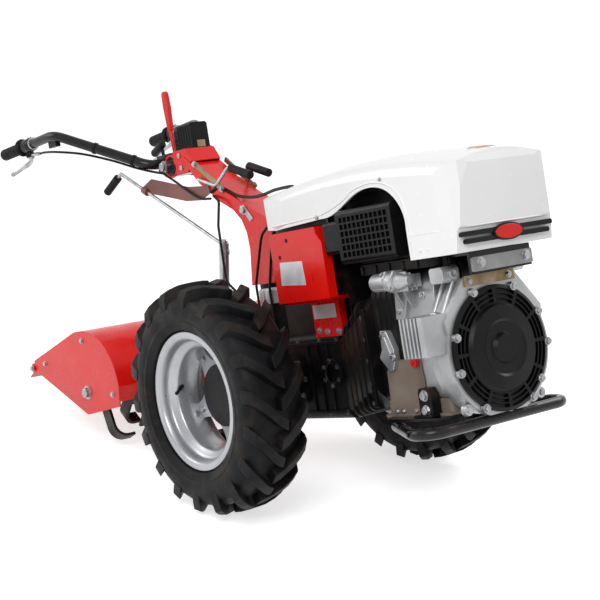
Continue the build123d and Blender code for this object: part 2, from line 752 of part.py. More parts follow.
wheels()
save("gearbox", gearbox())
save("bell_housing", bell_housing())
save("engine_block", engine_block())
save("sump", sump())
save("fan_housing", fan_housing())
save("fan_cover", fan_cover())
save("oil_cooler", oil_cooler())
save("starter_motor", starter_motor())
save("hood", hood())
save("hood_trim", hood_trim())
save("side_boxes", side_boxes())
save("side_brackets", side_brackets())
save("support_frame", support_frame())
save("air_filter_box", air_filter_box())
save("air_filter_grille", air_filter_grille())
save("front_bracket", front_bracket())
save("front_plates", [front_plate(), zinc_plate()])
save("engine_base", engine_base())
save("bumper", bumper())
save("column_foot", column_foot())
save("column", column())
save("clamp_base", clamp_base())
save("pivot_bolt", pivot_bolt())
save("handlebar", handlebar())
save("handlebar_hub", handlebar_hub())
save("grips", grips())
save("hand_levers", hand_levers())
save("control_box", control_box())
save("red_lever", red_lever())
save("shift_levers", shift_levers())
save("shift_grips", shift_grips())
save("crank_bracket", crank_bracket())
save("crank", crank())
save("crank_handle", crank_handle())
save("depth_screw", depth_screw())
save("depth_skid", depth_skid())
save("tiller_neck", tiller_neck())
save("tiller_gear_case", tiller_gear_case())
save("shield_top", shield_top())
save("tiller_sides", tiller_sides())
save("tiller_flap", tiller_flap())
save("tiller_rotor", tiller_rotor())
save("control_cables", control_cables())
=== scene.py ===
import json
import math
import bmesh
import bpy
from mathutils import Matrix, Vector


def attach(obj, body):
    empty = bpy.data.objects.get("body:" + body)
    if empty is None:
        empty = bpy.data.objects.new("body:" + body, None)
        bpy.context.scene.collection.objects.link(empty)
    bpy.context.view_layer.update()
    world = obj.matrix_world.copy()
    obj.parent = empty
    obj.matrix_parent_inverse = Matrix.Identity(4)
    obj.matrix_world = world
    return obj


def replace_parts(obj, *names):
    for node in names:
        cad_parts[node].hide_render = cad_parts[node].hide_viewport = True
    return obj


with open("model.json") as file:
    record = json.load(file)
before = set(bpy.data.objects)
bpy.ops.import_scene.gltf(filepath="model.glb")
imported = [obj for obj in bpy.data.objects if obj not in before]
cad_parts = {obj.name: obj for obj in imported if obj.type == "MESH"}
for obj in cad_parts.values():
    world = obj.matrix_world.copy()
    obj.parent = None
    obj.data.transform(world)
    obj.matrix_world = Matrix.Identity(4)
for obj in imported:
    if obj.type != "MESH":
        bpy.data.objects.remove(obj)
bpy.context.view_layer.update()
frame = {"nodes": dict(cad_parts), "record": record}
nodes = frame["nodes"]
scene = bpy.context.scene
scene.view_settings.view_transform = "Standard"

# the tractor stands tipped about its axle, so pieces are laid out level, in millimetres from the
# axle centre, and then tipped
stance = {"axleX": 0.269077, "axleZ": 0.285, "pitch": math.radians(15)}
stanceMatrix = (Matrix.Translation((stance["axleX"], 0, stance["axleZ"])) @ Matrix.Rotation(-stance["pitch"],
        4, "Y")
                @ Matrix.Scale(0.001, 4))

# sizes that the pieces share with the solids, in millimetres
wheel = {"halfTrack": 327.5, "discInset": 27.5, "tyreRadius": 285, "tyreWidth": 165, "lugsPerSide": 18,
         "wellRadius": 126, "lobes": 5, "boltCircle": 112}
columnHalf = 50
shieldHalf = 343
fan = {"z": 35, "front": 664, "coverRadius": 141}


# ways of adding shapes to a mesh
def along(direction):
    # a turn that lays the local Z axis along a direction
    return Vector(direction).to_track_quat("Z", "Y").to_matrix().to_4x4()


def addLathe(bm, place, direction, profile, steps, closed=False):
    # profile: (distance along the axis, radius) points, turned about the axis
    turn = Matrix.Translation(Vector(place)) @ along(direction)
    rings = []
    for t, r in profile:
        if r < 1e-6:
            rings.append([bm.verts.new(turn @ Vector((0, 0, t)))])
        else:
            rings.append([bm.verts.new(turn @ Vector((r * math.cos(2 * math.pi * k / steps),
                                                      r * math.sin(2 * math.pi * k / steps),
                                                      t))) for k in range(steps)])
    pairs = list(zip(rings, rings[1:])) + ([(rings[-1], rings[0])] if closed else [])
    for a, b in pairs:
        for k in range(steps):
            m = (k + 1) % steps
            if len(a) == 1 and len(b) > 1:
                bm.faces.new((a[0], b[m], b[k]))
            elif len(b) == 1 and len(a) > 1:
                bm.faces.new((a[k], a[m], b[0]))
            elif len(a) > 1:
                bm.faces.new((a[k], a[m], b[m], b[k]))


def addRod(bm, start, end, radius, steps=16):
    length = (Vector(end) - Vector(start)).length
    addLathe(bm, start, Vector(end) - Vector(start), [(0, 0), (0, radius), (length, radius), (length, 0)],
            steps)


def addBolt(bm, place, direction, size, washer=1.2):
    # hexagon head with a washer; size is the head's width across corners
    r = size / 2
    addLathe(bm, place, direction, [(0, 0), (0, r * 1.3), (washer, r * 1.3), (washer, 0)], 20)
    foot = Vector(place) + Vector(direction).normalized() * washer
    addLathe(bm, foot, direction, [(0, 0), (0, r), (r * 0.62, r), (r * 0.72, r * 0.82), (r * 0.72, 0)], 6)


def addBox(bm, low, high, turn=None):
    middle = (Vector(low) + Vector(high)) / 2
    size = Vector(high) - Vector(low)
    place = Matrix.Translation(middle) @ (turn or Matrix.Identity(4)) @ Matrix.Diagonal((*size, 1))
    bmesh.ops.create_cube(bm, size=1, matrix=place)


def joinRings(bm, rings, caps=True):
    # a skin over rings of points that follow each other
    for a, b in zip(rings, rings[1:]):
        for k in range(len(a)):
            m = (k + 1) % len(a)
            bm.faces.new((a[k], a[m], b[m], b[k]))
    if caps:
        bm.faces.new(list(reversed(rings[0])))
        bm.faces.new(rings[-1])


def addTube(bm, points, radius, steps=10):
    # a tube along points, with its rings turned from one run to the next
    pts = [Vector(p) for p in points]
    rings = []
    side = None
    for i, p in enumerate(pts):
        ahead = (pts[min(i + 1, len(pts) - 1)] - pts[max(i - 1, 0)]).normalized()
        if side is None:
            side = ahead.orthogonal().normalized()
        side = (side - ahead * side.dot(ahead)).normalized()
        other = ahead.cross(side)
        rings.append([bm.verts.new(p + (side * math.cos(a) + other * math.sin(a)) * radius)
                      for a in (2 * math.pi * k / steps for k in range(steps))])
    joinRings(bm, rings)


def smoothLine(points, fine=8):
    # a soft curve through given points
    pts = [Vector(p) for p in points]
    pts = [pts[0] * 2 - pts[1]] + pts + [pts[-1] * 2 - pts[-2]]
    line = []
    for i in range(1, len(pts) - 2):
        for k in range(fine):
            t = k / fine
            a, b, c, d = pts[i - 1], pts[i], pts[i + 1], pts[i + 2]
            bend, twist = 2 * a - 5 * b + 4 * c - d, 3 * b - a - 3 * c + d
            line.append(0.5 * (2 * b + (c - a) * t + bend * t * t + twist * t ** 3))
    line.append(pts[-2])
    return line


def addPlate(bm, outline, low, high, axis="y"):
    # a flat plate with an outline in the plane across the axis
    def at(u, v, w):
        return {"x": (w, u, v), "y": (u, w, v), "z": (u, v, w)}[axis]
    a = [bm.verts.new(at(u, v, low)) for u, v in outline]
    b = [bm.verts.new(at(u, v, high)) for u, v in outline]
    n = len(outline)
    bm.faces.new(a)
    bm.faces.new(list(reversed(b)))
    for k in range(n):
        m = (k + 1) % n
        bm.faces.new((a[k], b[k], b[m], a[m]))


def addSidePlate(bm, outline, side, near, far):
    # a plate on one side of the machine, between two distances from its middle
    low, high = sorted((side * near, side * far))
    addPlate(bm, outline, low, high)


def sideBolt(bm, side, x, y, z, size):
    addBolt(bm, (x, side * y, z), (0, side, 0), size)


def onSide(point, side):
    # a point given for the left side, on the left (1) or the right (-1)
    return Vector((point[0], side * point[1], point[2]))


def roundCorners(centres, fine):
    # outline with round corners, from (across, up, radius, first angle) of each
    points = []
    for u, v, radius, start in centres:
        for k in range(fine + 1):
            a = math.radians(start + 90 * k / fine)
            points.append((u + radius * math.cos(a), v + radius * math.sin(a)))
    return points


def rounded(x0, x1, z0, z1, r):
    # outline of a rectangle with round corners
    return roundCorners([(x1 - r, z1 - r, r, 0), (x0 + r, z1 - r, r, 90), (x0 + r, z0 + r, r, 180),
                         (x1 - r, z0 + r, r, 270)], 5)


def cutCorners(x0, x1, z0, z1, cut):
    # outline of a rectangle with its corners cut off
    return [(x0 + cut, z0), (x1 - cut, z0), (x1, z0 + cut), (x1, z1 - cut), (x1 - cut, z1), (x0 + cut, z1),
            (x0, z1 - cut), (x0, z0 + cut)]


def ellipse(wide, tall, y, z, steps=40):
    turns = [2 * math.pi * k / steps for k in range(steps)]
    return [(y + wide * math.cos(a), z + tall * math.sin(a)) for a in turns]


def makePiece(bm, name, look, body="chassis", bevel=0.0, segments=2, sharp=32, matrix=stanceMatrix,
        slot=None):
    # a piece rides on the chassis unless it is told otherwise; its slot is worked out but not kept on it
    slot = slot or look
    bm.transform(matrix)
    bmesh.ops.recalc_face_normals(bm, faces=bm.faces)
    for face in bm.faces:
        face.smooth = True
    for edge in bm.edges:
        if len(edge.link_faces) == 2 and edge.calc_face_angle(0) > math.radians(sharp):
            edge.smooth = False
    mesh = bpy.data.meshes.new(name)
    bm.to_mesh(mesh)
    bm.free()
    piece = bpy.data.objects.new(name, mesh)
    scene.collection.objects.link(piece)
    mesh.materials.append(surfaces[look])
    if bevel:
        soften = piece.modifiers.new("soften", "BEVEL")
        soften.width = bevel / 1000
        soften.segments = segments
        soften.limit_method = "ANGLE"
        soften.angle_limit = math.radians(sharp)
        soften.harden_normals = True
    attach(piece, body)
    return piece


# materials: each takes its colour from two tones, with grain, uneven gloss and dust
def noiseFrom(tree, scale, detail):
    place = tree.nodes.new("ShaderNodeTexCoord")
    noise = tree.nodes.new("ShaderNodeTexNoise")
    noise.inputs["Scale"].default_value = scale
    noise.inputs["Detail"].default_value = detail
    tree.links.new(place.outputs["Object"], noise.inputs["Vector"])
    return noise.outputs["Fac"]


def remap(tree, value, low, high, toLow, toHigh):
    node = tree.nodes.new("ShaderNodeMapRange")
    for key, number in zip(("From Min", "From Max", "To Min", "To Max"), (low, high, toLow, toHigh)):
        node.inputs[key].default_value = number
    tree.links.new(value, node.inputs["Value"])
    return node.outputs["Result"]


def blendColour(tree, factor, first, second):
    node = tree.nodes.new("ShaderNodeMix")
    node.data_type = "RGBA"
    for socket, value in ((node.inputs[0], factor), (node.inputs[6], first), (node.inputs[7], second)):
        if isinstance(value, bpy.types.NodeSocket):
            tree.links.new(value, socket)
        else:
            socket.default_value = (*value, 1) if hasattr(value, "__len__") else value
    return node.outputs[2]


def sumNode(tree, operation, first, second):
    node = tree.nodes.new("ShaderNodeMath")
    node.operation = operation
    tree.links.new(first, node.inputs[0])
    tree.links.new(second, node.inputs[1])
    return node.outputs[0]


def whiteLight(tree, kind, strength):
    node = tree.nodes.new(kind)
    node.inputs["Color"].default_value = (1, 1, 1, 1)
    node.inputs["Strength"].default_value = strength
    return node


def surface(name, look):
    material = bpy.data.materials.new(name)
    material.use_nodes = True
    tree = material.node_tree
    shader = tree.nodes["Principled BSDF"]
    shader.inputs["Metallic"].default_value = look.get("metal", 0.0)
    shader.inputs["Coat Weight"].default_value = look.get("coat", 0.0)
    shader.inputs["Coat Roughness"].default_value = 0.1
    shader.inputs["Specular IOR Level"].default_value = look.get("specular", 0.5)
    cloud = remap(tree, noiseFrom(tree, look.get("cloud", 7), 5), 0.35, 0.68, 0, 1)
    colour = blendColour(tree, cloud, look["dark"], look["light"])
    if "dust" in look:
        patch = remap(tree, noiseFrom(tree, look.get("dustScale", 16), 6), 0.5, 0.78, 0, look["dustAmount"])
        facing = tree.nodes.new("ShaderNodeNewGeometry")
        split = tree.nodes.new("ShaderNodeSeparateXYZ")
        tree.links.new(facing.outputs["Normal"], split.inputs[0])
        up = remap(tree, split.outputs["Z"], -0.6, 1, 0.35, 1)
        colour = blendColour(tree, sumNode(tree, "MULTIPLY", patch, up), colour, look["dust"])
    if "wear" in look:
        edge = tree.nodes.new("ShaderNodeNewGeometry")
        worn = remap(tree, edge.outputs["Pointiness"], 0.52, 0.6, 0, look["wearAmount"])
        colour = blendColour(tree, worn, colour, look["wear"])
    tree.links.new(colour, shader.inputs["Base Color"])
    gloss = noiseFrom(tree, 30, 4)
    tree.links.new(remap(tree, gloss, 0.3, 0.7, *look["rough"]), shader.inputs["Roughness"])
    grain = noiseFrom(tree, look["grain"], 3)
    bump = tree.nodes.new("ShaderNodeBump")
    bump.inputs["Strength"].default_value = look["bump"]
    bump.inputs["Distance"].default_value = look.get("bumpDepth", 0.0005)
    tree.links.new(grain, bump.inputs["Height"])
    if "swell" in look:
        # a slower unevenness under the fine grain
        slow = tree.nodes.new("ShaderNodeBump")
        slow.inputs["Strength"].default_value = look["swell"]
        slow.inputs["Distance"].default_value = 0.002
        tree.links.new(noiseFrom(tree, 60, 2), slow.inputs["Height"])
        tree.links.new(slow.outputs["Normal"], bump.inputs["Normal"])
    tree.links.new(bump.outputs["Normal"], shader.inputs["Normal"])
    return material


looks = {    "tyre": {"specular": 0.13, "dark": (0.0028, 0.0029, 0.0034), "light": (0.010, 0.0104, 0.012),
        "rough": (0.42, 0.62), "cloud": 9, "grain": 700, "bump": 0.25, "swell": 0.1,
        "dust": (0.10, 0.062, 0.038), "dustAmount": 0.35, "dustScale": 22},
    "rim_silver": {"dark": (0.36, 0.37, 0.39), "light": (0.44, 0.45, 0.47), "rough": (0.26, 0.4),
        "metal": 0.65, "grain": 1500, "bump": 0.08, "swell": 0.03, "coat": 0.2, "dust": (0.3, 0.26, 0.22),
        "dustAmount": 0.15},
    "hub_black": {"specular": 0.18, "dark": (0.006, 0.006, 0.007), "light": (0.016, 0.016, 0.017),
        "rough": (0.4, 0.55), "grain": 800, "bump": 0.2},
    "gearbox_black": {"specular": 0.12, "dark": (0.0015, 0.0015, 0.0018), "light": (0.006, 0.006, 0.0064),
        "rough": (0.3, 0.48), "grain": 420, "bump": 0.4, "swell": 0.15, "dust": (0.12, 0.08, 0.05),
        "dustAmount": 0.2},
    "alloy": {"dark": (0.34, 0.35, 0.36), "light": (0.52, 0.53, 0.54), "rough": (0.3, 0.5), "metal": 0.7,
        "grain": 520, "bump": 0.45, "bumpDepth": 0.0006, "swell": 0.08, "dust": (0.34, 0.25, 0.17),
        "dustAmount": 0.25},
    "alloy_black": {"specular": 0.14, "dark": (0.0018, 0.0018, 0.002), "light": (0.008, 0.008, 0.0085),
        "rough": (0.3, 0.5), "grain": 520, "bump": 0.4, "swell": 0.12, "dust": (0.14, 0.09, 0.05),
        "dustAmount": 0.25},
    "plastic_black": {"specular": 0.16, "dark": (0.002, 0.002, 0.0023), "light": (0.006, 0.006, 0.0064),
        "rough": (0.24, 0.38), "grain": 1500, "bump": 0.2},
    "red_paint": {"specular": 0.3, "dark": (0.66, 0.0035, 0.0015), "light": (0.76, 0.006, 0.003),
        "rough": (0.24, 0.38), "coat": 0.15, "cloud": 3, "grain": 260, "bump": 0.03, "swell": 0.02,
        "dust": (0.3, 0.03, 0.01), "dustAmount": 0.04},
    "hood_white": {"dark": (0.80, 0.80, 0.80), "light": (0.86, 0.86, 0.86), "rough": (0.18, 0.28),
        "coat": 0.5, "cloud": 2.5, "grain": 300, "bump": 0.02, "swell": 0.015},
    "trim_black": {"specular": 0.22, "dark": (0.003, 0.003, 0.0032), "light": (0.009, 0.009, 0.009),
        "rough": (0.25, 0.4), "grain": 1200, "bump": 0.1},
    "frame_black": {"specular": 0.25, "dark": (0.0015, 0.0015, 0.0018), "light": (0.005, 0.005, 0.0055),
        "rough": (0.18, 0.32), "coat": 0.12, "grain": 350, "bump": 0.08, "swell": 0.04,
        "dust": (0.2, 0.09, 0.05), "dustAmount": 0.14},
    # painted shade: bracket_brown is the red-painted bracket given dark brownish-red tones that stand for the
    # shade it sits in
    "bracket_brown": {"dark": (0.09, 0.011, 0.007), "light": (0.16, 0.022, 0.013), "rough": (0.35, 0.5),
        "grain": 300, "bump": 0.12, "wear": (0.45, 0.2, 0.15), "wearAmount": 0.2},
    "zinc_steel": {"dark": (0.2, 0.14, 0.075), "light": (0.34, 0.26, 0.16), "rough": (0.32, 0.46),
        "metal": 0.75, "cloud": 26, "grain": 700, "bump": 0.12},
    "steel_bright": {"dark": (0.3, 0.3, 0.31), "light": (0.46, 0.46, 0.47), "rough": (0.26, 0.42),
        "metal": 0.95, "cloud": 40, "grain": 900, "bump": 0.1},
    "grip_rubber": {"specular": 0.16, "dark": (0.002, 0.002, 0.0023), "light": (0.007, 0.007, 0.0074),
        "rough": (0.45, 0.62), "grain": 1100, "bump": 0.3},
    "red_plastic": {"specular": 0.35, "dark": (0.6, 0.005, 0.003), "light": (0.7, 0.009, 0.005),
        "rough": (0.22, 0.34), "grain": 700, "bump": 0.06},
    "cable_black": {"specular": 0.18, "dark": (0.002, 0.002, 0.002), "light": (0.006, 0.006, 0.006),
        "rough": (0.35, 0.5), "grain": 900, "bump": 0.15},
    "blade_steel": {"specular": 0.3, "dark": (0.012, 0.011, 0.011), "light": (0.035, 0.03, 0.028),
        "rough": (0.35, 0.6), "metal": 0.3, "cloud": 20, "grain": 420, "bump": 0.25,
        "dust": (0.12, 0.07, 0.04), "dustAmount": 0.3},
    "alloy_dusty": {"dark": (0.16, 0.125, 0.10), "light": (0.26, 0.21, 0.175), "rough": (0.5, 0.7),
        "metal": 0.3, "cloud": 10, "grain": 520, "bump": 0.45, "swell": 0.1, "dust": (0.36, 0.2, 0.1),
        "dustAmount": 0.45},
    "bolt_dark": {"dark": (0.05, 0.05, 0.05), "light": (0.16, 0.155, 0.15), "rough": (0.3, 0.5), "metal": 0.8,
        "cloud": 60, "grain": 900, "bump": 0.1},
    "plate_grey": {"dark": (0.2, 0.2, 0.205), "light": (0.29, 0.29, 0.295), "rough": (0.35, 0.5),
        "metal": 0.4, "cloud": 14, "grain": 800, "bump": 0.1},
    "badge_silver": {"dark": (0.6, 0.6, 0.62), "light": (0.7, 0.7, 0.72), "rough": (0.28, 0.4), "metal": 0.4,
        "cloud": 30, "grain": 1600, "bump": 0.06},
}
surfaces = {name: surface(name, look) for name, look in looks.items()}
slotOf = {part["node"]: part["material_slot"] for part in frame["record"]["subparts"]}
for nodeName, nodeObject in nodes.items():
    finish = surfaces[slotOf[nodeName]]
    if not nodeObject.material_slots:
        nodeObject.data.materials.append(finish)
    for holder in nodeObject.material_slots:
        holder.material = finish
print("materials laid on the solids")


# camera, at the place the photograph was taken from
view = {"place": (3.18158, -2.3056, 1.3636), "azimuth": 52.49, "elevation": 13.39, "lens": 90.32}
cameraData = bpy.data.cameras.new("photoCamera")
cameraData.lens = view["lens"]
cameraData.sensor_width = 36
camera = bpy.data.objects.new("photoCamera", cameraData)
camera.location = view["place"]
camera.rotation_euler = (math.radians(90 - view["elevation"]), 0, math.radians(view["azimuth"]))
scene.collection.objects.link(camera)
scene.camera = camera


# lights: a soft studio with a white floor that keeps the shadow
light = {"key": 92, "fill": 34, "back": 55, "world": 0.42, "floorGlow": 0.66, "floorColour": 0.88,
        "floorHalf": 60}
world = bpy.data.worlds.new("studioAir")
scene.world = world
world.use_nodes = True
tree = world.node_tree
tree.nodes.clear()
out = tree.nodes.new("ShaderNodeOutputWorld")
plain = whiteLight(tree, "ShaderNodeBackground", light["world"])
white = whiteLight(tree, "ShaderNodeBackground", 1.0)


def seenRay(tree):
    # one for rays that show the background: from the camera, from gloss and through glass
    path = tree.nodes.new("ShaderNodeLightPath")
    gloss = sumNode(tree, "MAXIMUM", path.outputs["Is Glossy Ray"], path.outputs["Is Transmission Ray"])
    return sumNode(tree, "MAXIMUM", path.outputs["Is Camera Ray"], gloss)


mix = tree.nodes.new("ShaderNodeMixShader")
tree.links.new(seenRay(tree), mix.inputs["Fac"])
tree.links.new(plain.outputs[0], mix.inputs[1])
tree.links.new(white.outputs[0], mix.inputs[2])
tree.links.new(mix.outputs[0], out.inputs["Surface"])


def softLight(name, place, aim, size, power):
    data = bpy.data.lights.new(name, "AREA")
    data.energy = power
    data.shape = "RECTANGLE"
    data.size = size[0]
    data.size_y = size[1]
    lamp = bpy.data.objects.new(name, data)
    lamp.location = place
    lamp.rotation_euler = (Vector(aim) - Vector(place)).to_track_quat("-Z", "Y").to_euler()
    scene.collection.objects.link(lamp)


softLight("keyLight", (2.4, -2.6, 3.2), (0, 0, 0.4), (2.2, 2.2), light["key"])
softLight("fillLight", (-2.6, -2.4, 2.0), (-0.2, 0, 0.4), (2.0, 2.0), light["fill"])
softLight("backLight", (0.5, 3.0, 2.8), (0, 0, 0.5), (2.6, 1.4), light["back"])

half = light["floorHalf"]
floorData = bpy.data.meshes.new("paleFloor")
floorData.from_pydata([(-half, -half, 0), (half, -half, 0), (half, half, 0), (-half, half, 0)], [],
        [(0, 1, 2, 3)])
floorPiece = bpy.data.objects.new("paleFloor", floorData)
scene.collection.objects.link(floorPiece)
floorMaterial = bpy.data.materials.new("paleFloor")
floorMaterial.use_nodes = True
floorTree = floorMaterial.node_tree
floorShader = floorTree.nodes["Principled BSDF"]
floorShader.inputs["Base Color"].default_value = (light["floorColour"],) * 3 + (1,)
floorShader.inputs["Roughness"].default_value = 0.9
floorShader.inputs["Specular IOR Level"].default_value = 0.1
glow = whiteLight(floorTree, "ShaderNodeEmission", light["floorGlow"])
both = floorTree.nodes.new("ShaderNodeAddShader")
floorTree.links.new(floorShader.outputs[0], both.inputs[0])
floorTree.links.new(glow.outputs[0], both.inputs[1])
choose = floorTree.nodes.new("ShaderNodeMixShader")
floorTree.links.new(seenRay(floorTree), choose.inputs["Fac"])
floorTree.links.new(floorShader.outputs[0], choose.inputs[1])
floorTree.links.new(both.outputs[0], choose.inputs[2])
floorTree.links.new(choose.outputs[0], floorTree.nodes["Material Output"].inputs["Surface"])
floorData.materials.append(floorMaterial)
print("camera and studio set")


# tyres: smooth carcass with bevelled lugs over its shoulders
tread = {"lugWidth": 30, "lean": math.degrees(1 / 285), "crest": 285.39, "bevel": 3.0,
         "bead": 63.4, "crown": 262, "carcassSteps": 144}


def lugRing(side, t, top, root, wide, inset, middle):
    turn = math.degrees(tread["lugWidth"] / 2 / wheel["tyreRadius"])
    at = middle - tread["lean"] * max(t, 0)
    spread = turn * wide
    corners = []
    for r, a, y in ((top, at - spread, t), (top, at + spread, t), (root, at + spread * 1.25, t - inset),
                    (root, at - spread * 1.25, t - inset)):
        angle = math.radians(a)
        corners.append(Vector((r * math.sin(angle), side * y, r * math.cos(angle))))
    return corners


def tyrePiece(side, word):
    bm = bmesh.new()
    half = wheel["tyreWidth"] / 2
    bead = tread["bead"]
    outside = [(bead - 3.4, 152), (bead, 153.2), (bead, 172), (bead + 4, 174.5), (bead + 8, 174),
            (bead + 10, 176.5),
               (half - 6, 184), (half - 2.5, 192), (half - 0.8, 196), (half - 1.6, 199), (half - 0.2, 205),
               (half + 0.3, 214),
               (half - 0.5, 227), (half - 3, 237), (half - 8, 246), (half - 18, 254), (half - 40, 259.5),
               (0, tread["crown"])]
    outline = outside + [(-t, r) for t, r in reversed(outside[:-1])]
    hollow = [(-half + 40, 152), (-half + 16, 195), (-half + 16, 225), (-half + 34, 240), (half - 34, 240),
            (half - 16, 225),
              (half - 16, 195), (half - 40, 152)]
    addLathe(bm, (0, 0, 0), (0, 1, 0), outline + hollow, tread["carcassSteps"], closed=True)
    crest = tread["crest"]
    stations = ((-8, crest, 244, 0.96, 0), (12, crest, 244, 1.0, 0), (42, crest - 1.6, 243, 1.0, 0),
            (60, crest - 6.5, 238, 1.04, 2),
                (half - 7, crest - 14, 230, 1.1, 6), (half - 1.2, crest - 33, 222, 1.16, 10),
                (half + 0.5, 232, 213, 1.2, 13))
    step = 360 / wheel["lugsPerSide"]
    for lugSide, shift in ((1, 0), (-1, 0.5)):
        for k in range(wheel["lugsPerSide"]):
            rings = [[bm.verts.new(c) for c in lugRing(lugSide, *s, step * (k + shift))] for s in stations]
            joinRings(bm, rings, caps=False)
            bm.faces.new(rings[0])
            bm.faces.new(list(reversed(rings[-1])))
    place = Matrix.Translation((stance["axleX"], side * wheel["halfTrack"] / 1000,
            stance["axleZ"])) @ Matrix.Scale(0.001, 4)
    piece = makePiece(bm, "tyre" + word, "tyre", "wheel_" + word.lower(), bevel=tread["bevel"], sharp=34,
            matrix=place)
    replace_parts(piece, "tyre_" + word.lower())


for side, word in ((-1, "Right"), (1, "Left")):
    tyrePiece(side, word)
print("tyres made")


# rims: pressed steel, with a rolled flange and a stepped dish on both sides
rim = {"steps": 128, "bolt": 15, "tabHalf": (17, 14), "valveAngle": -75, "valveCircle": 127, "valveOut": 15}
discPlane = wheel["halfTrack"] - wheel["discInset"]


def rimPiece(side, word):
    bm = bmesh.new()
    well = wheel["wellRadius"]
    seen = [(64.2, 170.2), (66.4, 170.6), (68.2, 169), (68.5, 166), (68.3, 158), (66.8, 153.5), (62, 150),
            (52, 148.2),
            (44.5, 147.2), (40.5, 145), (37.5, 139), (34.5, 132.5), (31.5, 128), (28, well + 0.2), (0, well)]
    hidden = [(0, 129.5), (31.5, 130.5), (34.5, 133.5), (41.5, 151.8), (60, 151.9), (63.4, 152.8),
            (63.4, 168)]
    profile = ([(-t, r) for t, r in seen] + [(t, r) for t, r in reversed(seen[:-1])]
               + [(t, r) for t, r in reversed(hidden)] + [(-t, r) for t, r in hidden[1:]])
    addLathe(bm, (0, side * wheel["halfTrack"], 0), (0, 1, 0), profile, rim["steps"], closed=True)
    piece = makePiece(bm, "rim" + word, "rim_silver", "wheel_" + word.lower(), sharp=40)
    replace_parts(piece, "rim_" + word.lower())


def wheelDetails(side, word):
    # lobe bolts with their welded tabs, a ring on the drum and the valve
    bolts, tabs, valve = bmesh.new(), bmesh.new(), bmesh.new()
    out = (0, side, 0)
    for k in range(wheel["lobes"]):
        a = math.radians(36 + 360 / wheel["lobes"] * k)
        x, y, z = wheel["boltCircle"] * math.sin(a), side * (discPlane - 7), wheel["boltCircle"] * math.cos(a)
        addBolt(bolts, (x, side * (discPlane + 4), z), out, rim["bolt"])
        halfX, halfZ = rim["tabHalf"]
        addBox(tabs, (x - halfX, y - 2, z - halfZ), (x + halfX, y + 2.6, z + halfZ),
               Matrix.Rotation(a, 4, "Y"))
    addLathe(tabs, (0, side * (discPlane + 4), 0), out, [(0, 77.2), (0, 80.5), (2.4, 80.5), (3, 79.6),
            (3, 77.2)], 96, closed=True)
    angle = math.radians(rim["valveAngle"])
    base = Vector((rim["valveCircle"] * math.sin(angle), side * (wheel["halfTrack"] + rim["valveOut"]),
                   rim["valveCircle"] * math.cos(angle)))
    tip = base + Vector((10, side * 24, -13))
    addTube(valve, [base, base + (tip - base) * 0.5], 5.2, 14)
    addTube(valve, [base + (tip - base) * 0.45, tip], 3.6, 14)
    addTube(valve, [tip, tip + (tip - base) * 0.18], 4.4, 14)
    name = "wheel_" + word.lower()
    makePiece(bolts, "lobeBolts" + word, "steel_bright", name, slot="rim_silver")
    makePiece(tabs, "lobeTabs" + word, "rim_silver", name, bevel=0.6)
    makePiece(valve, "valve" + word, "grip_rubber", name, slot="hub_black")


for side, word in ((-1, "Right"), (1, "Left")):
    rimPiece(side, word)
    wheelDetails(side, word)
print("rims made")


# fan cover: bolts on short posts round its edge
fanBolt = {"head": 15, "post": 11, "stand": 9,
           "places": ((149, 109), (143, 27), (106, -52), (-60, 167), (-127, 75), (-130, -2), (-75, -91),
                   (64, 168), (76, -96))}


def fanBolts():
    bm = bmesh.new()
    post, stand = fanBolt["post"], fanBolt["stand"]
    for y, z in fanBolt["places"]:
        away = Vector((0, y, z - fan["z"]))
        flat = away.normalized() * min(away.length, fan["coverRadius"] + 2)
        addLathe(bm, (fan["front"] + 1, flat.y, fan["z"] + flat.z), (1, 0, 0),
                [(0, 0), (0, post), (stand, post - 1), (stand, 0)], 20)
        addBolt(bm, (fan["front"] + 1 + stand, flat.y, fan["z"] + flat.z), (1, 0, 0), fanBolt["head"])
    makePiece(bm, "fanBolts", "steel_bright", bevel=0.5)


fanBolts()
print("fan cover bolted")


# grips: rubber with raised rings, on the ends of the bar
bar = {"gripEnd": (-1045, 262, 750), "bend": (-760, 245, 762), "radius": 13.8, "cable": 3.4, "leverBolt": 10}
grip = {"core": 15.8, "ring": 17.2, "ringEvery": 8, "ringsEnd": 96, "collar": 26}


def gripPiece(side, word):
    bm = bmesh.new()
    end = onSide(bar["gripEnd"], side)
    run = (onSide(bar["bend"], side) - end).normalized()
    core, ring, collar = grip["core"], grip["ring"], grip["collar"]
    profile = [(-6, 0), (-6, 14), (-3, 17), (0, 17.5), (4, 17.4)]
    for t in range(grip["ringEvery"], grip["ringsEnd"], grip["ringEvery"]):
        profile += [(t, core), (t + 1.2, ring), (t + 5.4, ring), (t + 6.4, core)]
    profile += [(98, ring), (101, collar - 1.5), (103, collar), (107, collar), (110, collar - 2), (112, 17),
            (112, 14.2)]
    addLathe(bm, end, run, profile, 32)
    return makePiece(bm, "grip" + word, "grip_rubber", "handlebar", sharp=60)


rightGrip = gripPiece(-1, "Right")
gripPiece(1, "Left")
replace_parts(rightGrip, "grips")
print("grips made")


# engine: silver front half and black rear half, with its covers, cap and mounts
engine = {"half": 108, "rear": 376, "split": 468, "front": 599, "low": -60, "high": 235,
          "cheek": 106, "ribs": (392, 412, 432, 452), "bracketBolt": 15}


def crankcaseOutline(half, low, high, top=62, bottom=18):
    return roundCorners([(half - top, high - top, top, 0), (-half + top, high - top, top, 90),
                         (-half + bottom, low + bottom, bottom, 180),
                         (half - bottom, low + bottom, bottom, 270)], 8)


